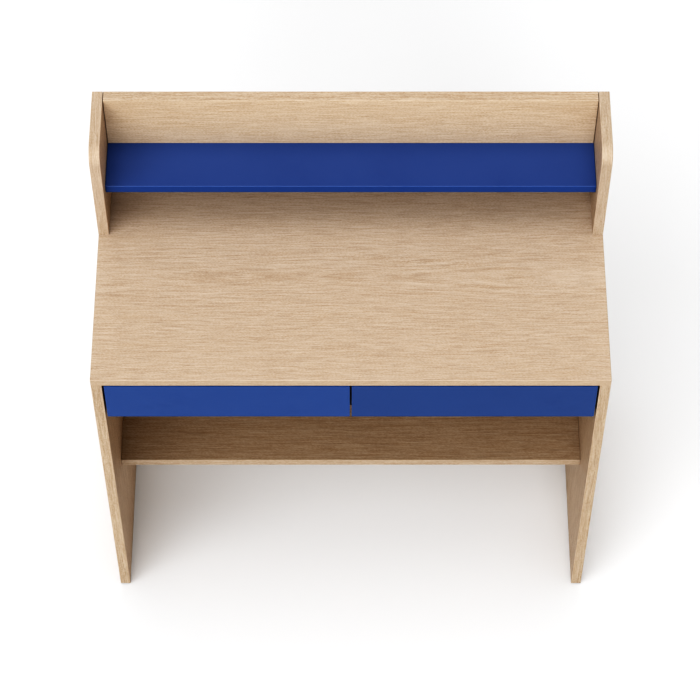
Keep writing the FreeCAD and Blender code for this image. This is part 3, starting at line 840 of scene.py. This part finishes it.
# %% [markdown]
# ## Finding the fittings
# Dowels, screws, bolts, cams and balls are plain solids in the CAD model, many of them in one node. What
# this lesson puts in their stead has to stand exactly where they do. Copying coordinates by hand would
# break when the desk changes, so each node is taken apart into its loose solids, and each solid says where
# it is: its own axis, the end where its head lies, and how long it is.

# %% The seats of the fittings
merging_distance = 1e-6
end_slab = 0.00005
inner_share = 0.9
fine_places = 5
rough_places = 4


class Seat:
    """Where one fitting sits: the middle of its head's face, the way into the wood, and its length."""

    def __init__(self, corners):
        low = Vector([min(values) for values in zip(*corners)])
        high = Vector([max(values) for values in zip(*corners)])
        self.centre = (low + high) / 2
        extent = high - low
        total = sum(extent)
        self.axis = max(range(len(extent)), key=lambda i: abs(extent[i] - (total - extent[i]) / 2))
        self.length = extent[self.axis]
        ends = [self.end(corners, low), self.end(corners, high)]
        self.inward = Vector((0, 0, 0))
        self.inward[self.axis] = 1.0 if ends[0] >= ends[1] else -1.0
        self.start = self.centre - self.inward * self.length / 2

    def end(self, corners, limit):
        """How wide an end is, and how many corners its face has inside the rim: the head has more."""
        reaches = []
        for corner in corners:
            if abs(corner[self.axis] - limit[self.axis]) < end_slab:
                away = corner - self.centre
                away[self.axis] = 0
                reaches.append(away.length)
        widest = max(reaches)
        inside = sum(reach < inner_share * widest for reach in reaches)
        return round(widest, rough_places), inside


def find_seats(node):
    """The seats of a node's loose solids, in a steady order."""
    shape = bmesh.new()
    shape.from_mesh(frame["nodes"][node].data)
    bmesh.ops.remove_doubles(shape, verts=shape.verts, dist=merging_distance)
    left = dict.fromkeys(shape.verts)
    seats = []
    while left:
        solid = [next(iter(left))]
        del left[solid[0]]
        for vertex in solid:
            for edge in vertex.link_edges:
                other = edge.other_vert(vertex)
                if other in left:
                    del left[other]
                    solid.append(other)
        seats.append(Seat([vertex.co.copy() for vertex in solid]))
    shape.free()
    return sorted(seats, key=lambda seat: [round(value, fine_places) for value in seat.centre])


for node in ("frame_dowels", "frame_cams", "left_drawer_bearing_balls"):
    print(node, "has", len(find_seats(node)), "solids")

# %% [markdown]
# ## A lathe made of nodes
# Dowels, screws, bolts and cams are all turned: a ring of points at each step along the axis, with a
# radius that may change round the ring. Geometry Nodes can make that from a plain grid. The columns of the
# grid become angles and its rows become steps along the axis, then the seam and the poles are merged. One
# fitting is made once, and Instance on Points sets a copy on each seat, turned to point into the wood.
# The tree ends in Realize Instances and Set Material, and the result is kept as a plain mesh.

# %% The recipe for repeated pieces
full_turn = 2 * math.pi
seam_merge = 1e-7
smooth_angle = math.radians(32)


class Recipe(Nodes):
    """A Geometry Nodes tree being written, whose named inputs are the sizes of one fitting."""

    def __init__(self, name, labels):
        super().__init__(bpy.data.node_groups.new(name, "GeometryNodeTree"))
        interface = self.tree.interface
        interface.new_socket("Seats", in_out="INPUT", socket_type="NodeSocketGeometry")
        self.identifiers = {}
        for label in labels:
            socket = interface.new_socket(label, in_out="INPUT", socket_type="NodeSocketFloat")
            self.identifiers[label] = socket.identifier
        interface.new_socket("Pieces", in_out="OUTPUT", socket_type="NodeSocketGeometry")
        self.given = self.tree.nodes.new("NodeGroupInput")
        self.sizes = [Field(self, self.given.outputs[label]) for label in labels]

    def choose(self, row, values):
        """The value of a row, from a list."""
        node = self.add("GeometryNodeIndexSwitch", {"data_type": "FLOAT"}, {})
        while len(node.index_switch_items) < len(values):
            node.index_switch_items.new()
        items = {"Item_%d" % number: value for number, value in enumerate(values)}
        self.plug(node, {"Index": row, **items})
        return Field(self, node.outputs["Output"])

    def turned(self, rows, segments, outline):
        """A closed shape turned on a lathe: outline gives a ring's radius and height from row and angle."""
        grid = self.field("GeometryNodeMeshGrid", "Mesh", Vertices_X=segments + 1, Vertices_Y=rows)
        index = self.field("GeometryNodeInputIndex", "Index")
        column = (index / rows).math("FLOOR")
        row = index - column * rows
        angle = column * (full_turn / segments)
        radius, height = outline(row, angle)
        place = self.vector(radius * angle.math("COSINE"), radius * angle.math("SINE"), height)
        shaped = self.field("GeometryNodeSetPosition", "Geometry", Geometry=grid, Position=place)
        return self.field("GeometryNodeMergeByDistance", "Geometry", Geometry=shaped, Distance=seam_merge)

    def moved(self, shape, **changes):
        """The shape moved or turned."""
        return self.field("GeometryNodeTransform", "Geometry", Geometry=shape, **changes)

    def block(self, length, width, height, x=0.0):
        """A block whose middle lies at x."""
        cube = self.field("GeometryNodeMeshCube", "Mesh", Size=self.vector(length, width, height))
        return self.moved(cube, Translation=self.vector(x, 0.0, 0.0))

    def cut(self, shape, *cutters):
        """The shape with the cutters taken out of it."""
        settings = {"operation": "DIFFERENCE", "solver": "EXACT"}
        node = self.add("GeometryNodeMeshBoolean", settings, {"Mesh 1": shape})
        for cutter in cutters:
            self.tree.links.new(cutter.socket, node.inputs["Mesh 2"])
        return Field(self, node.outputs["Mesh"])

    def cross(self, span, width, depth):
        """The two crossed blocks that leave a driver's recess in a head whose face lies at height zero."""
        return self.block(span, width, 2 * depth), self.block(width, span, 2 * depth)

    def set_out(self, shape, material):
        """Copies the shape to each seat and ends the tree."""
        rotation = (0, 0, 0)
        of_vectors = {"data_type": "FLOAT_VECTOR"}
        for attribute, turn in (("inward", {"axis": "Z"}), ("sideways", {"axis": "X", "pivot_axis": "Z"})):
            vector = self.field("GeometryNodeInputNamedAttribute", "Attribute", of_vectors, Name=attribute)
            rotation = self.field(
                "FunctionNodeAlignRotationToVector", "Rotation", turn, Vector=vector, Rotation=rotation
            )
        seats = Field(self, self.given.outputs["Seats"])
        copies = self.field(
            "GeometryNodeInstanceOnPoints", "Instances", Points=seats, Instance=shape, Rotation=rotation
        )
        real = self.field("GeometryNodeRealizeInstances", "Geometry", Geometry=copies)
        done = self.field("GeometryNodeSetMaterial", "Geometry", Geometry=real, Material=material)
        end = self.tree.nodes.new("NodeGroupOutput")
        self.tree.links.new(done.socket, end.inputs["Pieces"])

    def run(self, seats, sizes):
        """The mesh that the tree makes for some seats, as plain data."""
        carrier = add_mesh(self.tree.name + "_carrier", [seat.start for seat in seats], [])
        for attribute in ("inward", "sideways"):
            layer = carrier.data.attributes.new(attribute, "FLOAT_VECTOR", "POINT")
            for number, seat in enumerate(seats):
                layer.data[number].vector = getattr(seat, attribute)
        modifier = carrier.modifiers.new("recipe", "NODES")
        modifier.node_group = self.tree
        for label, identifier in self.identifiers.items():
            modifier[identifier] = float(sizes[label])
        evaluated = carrier.evaluated_get(bpy.context.evaluated_depsgraph_get())
        mesh = bpy.data.meshes.new_from_object(evaluated)
        bpy.data.objects.remove(carrier)
        return mesh


# %% A piece that stands in for a node's fittings
def set_sideways(seats, marks):
    """Gives each seat a direction across its axis: to the nearest mark, or any where there is none."""
    for seat in seats:
        axis = (seat.axis + 1) % len(seat.centre)
        sense = 1.0
        if marks:
            nearest = min((mark.centre - seat.centre for mark in marks), key=lambda away: away.length)
            nearest[seat.axis] = 0
            axis = max(range(len(nearest)), key=lambda i: abs(nearest[i]))
            sense = math.copysign(1.0, nearest[axis])
        seat.sideways = Vector((0, 0, 0))
        seat.sideways[axis] = sense


def stand_in(node, suffix, recipe, sizes, marks=()):
    """Makes one piece for a CAD node's fittings. Fittings of another length are made by their own run."""
    seats = find_seats(node)
    set_sideways(seats, marks)
    groups = {}
    for seat in seats:
        groups.setdefault(round(seat.length, rough_places), []).append(seat)
    whole = bmesh.new()
    for length, group in sorted(groups.items()):
        mesh = recipe.run(group, {**sizes, "Length": length})
        material = [found for found in mesh.materials if found is not None][0]
        whole.from_mesh(mesh)
        bpy.data.meshes.remove(mesh)
    bmesh.ops.recalc_face_normals(whole, faces=whole.faces)
    piece = add_mesh(node + "_" + suffix, [], [])
    whole.to_mesh(piece.data)
    whole.free()
    piece.data.materials.append(material)
    faces = len(piece.data.polygons)
    piece.data.polygons.foreach_set("material_index", [0] * faces)
    piece.data.polygons.foreach_set("use_smooth", [True] * faces)
    piece.data.set_sharp_from_angle(angle=smooth_angle)
    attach(piece, body_of(frame["nodes"][node])[0])
    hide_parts(node)
    print(piece.name, "in", material.name, "holds", len(seats), "fittings and", faces, "faces")


# %% [markdown]
# ## Fluted dowels
# A furniture dowel is a short beech rod with fine grooves along it, so that the glue can spread and the air
# can leave the hole. Its ends are bevelled to start easily. The grooves are a cosine of the angle, taken off
# the radius between the two bevels only.

# %% The dowels
flutes = 24
points_in_flute = 4


def in_groups(large, small):
    """What each group of fittings takes: the desk's own boards large ones, and the drawers small ones."""
    return {"frame": large, "hutch": large, **dict.fromkeys(drawers, small)}.items()


def dowel_recipe():
    recipe = Recipe("fluted_dowel", ("Length", "Radius", "Bevel", "Flute"))
    length, radius, bevel, flute = recipe.sizes
    radii = [0.0, radius - bevel, radius, radius, radius - bevel, 0.0]
    heights = [0.0, 0.0, bevel, length - bevel, length, length]
    fluted = [0.0, 0.0, 1.0, 1.0, 0.0, 0.0]

    def outline(row, angle):
        wave = ((angle * flutes).math("COSINE") + 1) / 2
        groove = wave * flute * recipe.choose(row, fluted)
        return recipe.choose(row, radii) - groove, recipe.choose(row, heights)

    shape = recipe.turned(len(radii), flutes * points_in_flute, outline)
    recipe.set_out(shape, beech)
    return recipe


dowels = dowel_recipe()
large_dowel = {"Radius": 0.004, "Bevel": 0.0008, "Flute": 0.00022}
small_dowel = {**large_dowel, "Radius": 0.003}
for group, sizes in in_groups(large_dowel, small_dowel):
    stand_in(group + "_dowels", "fluted", dowels, sizes)

# %% [markdown]
# ## Threads
# A wood screw's thread is a ridge that climbs as it goes round. On the lathe's grid that needs no separate
# coil: the radius rises and falls with the height divided by the pitch, less the share of a turn, and a
# whole turn moves the ridge by exactly one pitch, so the seam closes. The ridge fades into a point at the
# tip. The same outline serves the rail screws, the countersunk screws and the bolts of the cam fittings,
# with other heads. The screws get their cross recess from a boolean with two crossed blocks.

# %% The thread
rows_in_pitch = 6
screw_segments = 20
tip_pitches = 1.6
climb_share = 0.5


def threaded(recipe, radii, heights, thread_radius, ridge, pitch, length, rows):
    """The outline of a head, given by the radius and height of each ring, and of a thread that ends it."""
    start = heights[-1]
    count = len(radii)

    def outline(row, angle):
        in_head = row < count
        head_row = row.math("MINIMUM", count - 1)
        share = (row - (count - 1)) / rows
        height = start + (length - start) * share
        turns = height / pitch - angle / full_turn
        wave = turns.math("PINGPONG", climb_share) / climb_share
        taper = ((length - height) / (pitch * tip_pitches)).math("MINIMUM", 1)
        shank = (thread_radius - ridge + wave * ridge) * taper
        radius = shank + (recipe.choose(head_row, radii) - shank) * in_head
        return radius, height + (recipe.choose(head_row, heights) - height) * in_head

    return outline


# %% The screws
recess_span_share = 0.6
recess_width = 0.001
recess_depth = 0.0009
crown_share = 0.5
crown_shoulder_share = 0.86
crown_drop_share = 0.14
screw_turns = {"pan_screw": 9, "flat_screw": 18}


def screw_recipe(name, pan):
    """A wood screw with a pan head or a countersunk head, and a cross recess."""
    recipe = Recipe(name, ("Length", "Radius", "Head radius", "Head height", "Ridge", "Pitch"))
    length, radius, head_radius, head_height, ridge, pitch = recipe.sizes
    core = radius - ridge
    if pan:
        shoulder = head_radius * crown_shoulder_share
        radii = [0.0, head_radius * crown_share, shoulder, head_radius, head_radius, core]
        drop = head_height * crown_drop_share
        heights = [0.0, 0.0, drop, head_height * crown_share, head_height, head_height]
    else:
        radii = [0.0, head_radius, core]
        heights = [0.0, 0.0, head_height]
    rows = rows_in_pitch * screw_turns[name]
    outline = threaded(recipe, radii, heights, radius, ridge, pitch, length, rows)
    shape = recipe.turned(len(radii) + rows, screw_segments, outline)
    span = head_radius * 2 * recess_span_share
    shape = recipe.cut(shape, *recipe.cross(span, recess_width, recess_depth))
    recipe.set_out(shape, steel)
    return recipe


pan_screws = screw_recipe("pan_screw", True)
flat_screws = screw_recipe("flat_screw", False)
rail_screw = {
    "Radius": 0.00175, "Head radius": 0.0034, "Head height": 0.0015, "Ridge": 0.0005, "Pitch": 0.0013,
}
back_screw = {
    "Radius": 0.00175, "Head radius": 0.0035, "Head height": 0.0025, "Ridge": 0.0005, "Pitch": 0.0016,
}
bottom_screw = {
    "Radius": 0.00125, "Head radius": 0.0025, "Head height": 0.0015, "Ridge": 0.00035, "Pitch": 0.001,
}
for drawer in drawers:
    stand_in(drawer + "_cabinet_rail_screws", "threaded", pan_screws, rail_screw)
    stand_in(drawer + "_rail_screws", "threaded", pan_screws, rail_screw)
    stand_in(drawer + "_back_screws", "threaded", flat_screws, back_screw)
    stand_in(drawer + "_bottom_screws", "threaded", flat_screws, bottom_screw)

# %% [markdown]
# ## Cam fittings
# Flat-pack boards are drawn together by a bolt with a narrow neck and a cast zinc cam that grips the head
# of the bolt when it is turned. The bolt is turned like the screws. The cam is a short drum with a bevelled
# rim, a shallow ring and a cross recess in its face, a small arrow that shows where the bolt comes in, and
# the passage that the bolt's head goes through.

# %% The bolts
bolt_turns = 6
bolt_rows = rows_in_pitch * bolt_turns


def bolt_recipe():
    labels = ("Length", "Radius", "Bevel", "Head", "Neck", "Neck length", "Thread length", "Thread radius")
    recipe = Recipe("cam_bolt", labels + ("Ridge", "Pitch"))
    length, wide, bevel, head, neck, neck_length, thread_length, thread_radius, ridge, pitch = recipe.sizes
    collar = length - thread_length
    neck_end = head + neck_length
    radii = [
        0.0, wide - bevel, wide, wide, wide - bevel, neck, neck, wide - bevel, wide, wide, wide - bevel,
        thread_radius - ridge,
    ]
    heights = [
        0.0, 0.0, bevel, head - bevel, head, head, neck_end, neck_end, neck_end + bevel, collar - bevel,
        collar, collar,
    ]
    outline = threaded(recipe, radii, heights, thread_radius, ridge, pitch, length, bolt_rows)
    shape = recipe.turned(len(radii) + bolt_rows, screw_segments, outline)
    recipe.set_out(shape, steel)
    return recipe


bolts = bolt_recipe()
bolt_thread = {
    "Thread length": 0.011, "Thread radius": 0.0029, "Ridge": 0.0007, "Pitch": 0.0018, "Bevel": 0.0004,
}
large_bolt = {"Radius": 0.0035, "Neck": 0.002, "Head": 0.0035, "Neck length": 0.004, **bolt_thread}
small_bolt = {"Radius": 0.0025, "Neck": 0.0015, "Head": 0.0025, "Neck length": 0.003, **bolt_thread}
for group, sizes in in_groups(large_bolt, small_bolt):
    stand_in(group + "_cam_bolts", "threaded", bolts, sizes)

# %% The cams
cam_segments = 48
ring_outer_share = 0.86
ring_inner_share = 0.78
cam_recess_share = 0.50
cam_recess_width = 0.0013
arrow_place_share = 0.64
arrow_length = 0.0010
arrow_width = 0.0006
arrow_depth = 0.0003


def cam_recipe():
    recipe = Recipe("cam", ("Length", "Radius", "Bevel", "Ring", "Passage", "Floor"))
    length, radius, bevel, ring, passage, floor_depth = recipe.sizes
    radii = [
        0.0, radius * ring_inner_share, radius * ring_inner_share, radius * ring_outer_share,
        radius * ring_outer_share, radius - bevel, radius, radius, radius - bevel, 0.0,
    ]
    heights = [0.0, 0.0, ring, ring, 0.0, 0.0, bevel, length - bevel, length, length]

    def outline(row, angle):
        return recipe.choose(row, radii), recipe.choose(row, heights)

    drum = recipe.turned(len(radii), cam_segments, outline)
    span = radius * 2 * cam_recess_share
    arrow = recipe.block(arrow_length, arrow_width, arrow_depth * 2, radius * arrow_place_share)
    rod = recipe.field(
        "GeometryNodeMeshCylinder", "Mesh", Vertices=screw_segments, Radius=passage, Depth=radius * 2
    )
    entry = recipe.vector(radius, 0.0, length - floor_depth)
    rod = recipe.moved(rod, Translation=entry, Rotation=(0, quarter_turn, 0))
    shape = recipe.cut(drum, *recipe.cross(span, cam_recess_width, recess_depth), arrow, rod)
    recipe.set_out(shape, cast_zinc)
    return recipe


cams = cam_recipe()
cam_face = {"Bevel": 0.0004, "Ring": 0.00025}
large_cam = {"Radius": 0.0075, "Passage": 0.004, "Floor": 0.005, **cam_face}
small_cam = {"Radius": 0.006, "Passage": 0.003, "Floor": 0.0035, **cam_face}
for group, sizes in in_groups(large_cam, small_cam):
    stand_in(group + "_cams", "cast", cams, sizes, find_seats(group + "_cam_bolts"))

# %% [markdown]
# ## Bearing balls
# Each drawer rolls on twenty-four balls held in two cages. A ball needs no profile: one small sphere is set
# on the middle of each ball of the CAD model, and the whole set rides with its cages.

# %% The balls
ball_radius = 0.002
ball_segments = 24
ball_rings = 14


def ball_recipe():
    recipe = Recipe("bearing_ball", ("Length", "Radius"))
    length, radius = recipe.sizes
    ball = recipe.field(
        "GeometryNodeMeshUVSphere", "Mesh", Segments=ball_segments, Rings=ball_rings, Radius=radius
    )
    recipe.set_out(recipe.moved(ball, Translation=recipe.vector(0.0, 0.0, length / 2)), ball_steel)
    return recipe


balls = ball_recipe()
for drawer in drawers:
    stand_in(drawer + "_bearing_balls", "polished", balls, {"Radius": ball_radius})

# %% The two boxes and the end
visual_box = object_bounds()
sizes = {"cad": [list(corner) for corner in cad_box], "visual": [list(corner) for corner in visual_box]}
print_box("The visual box:", visual_box)
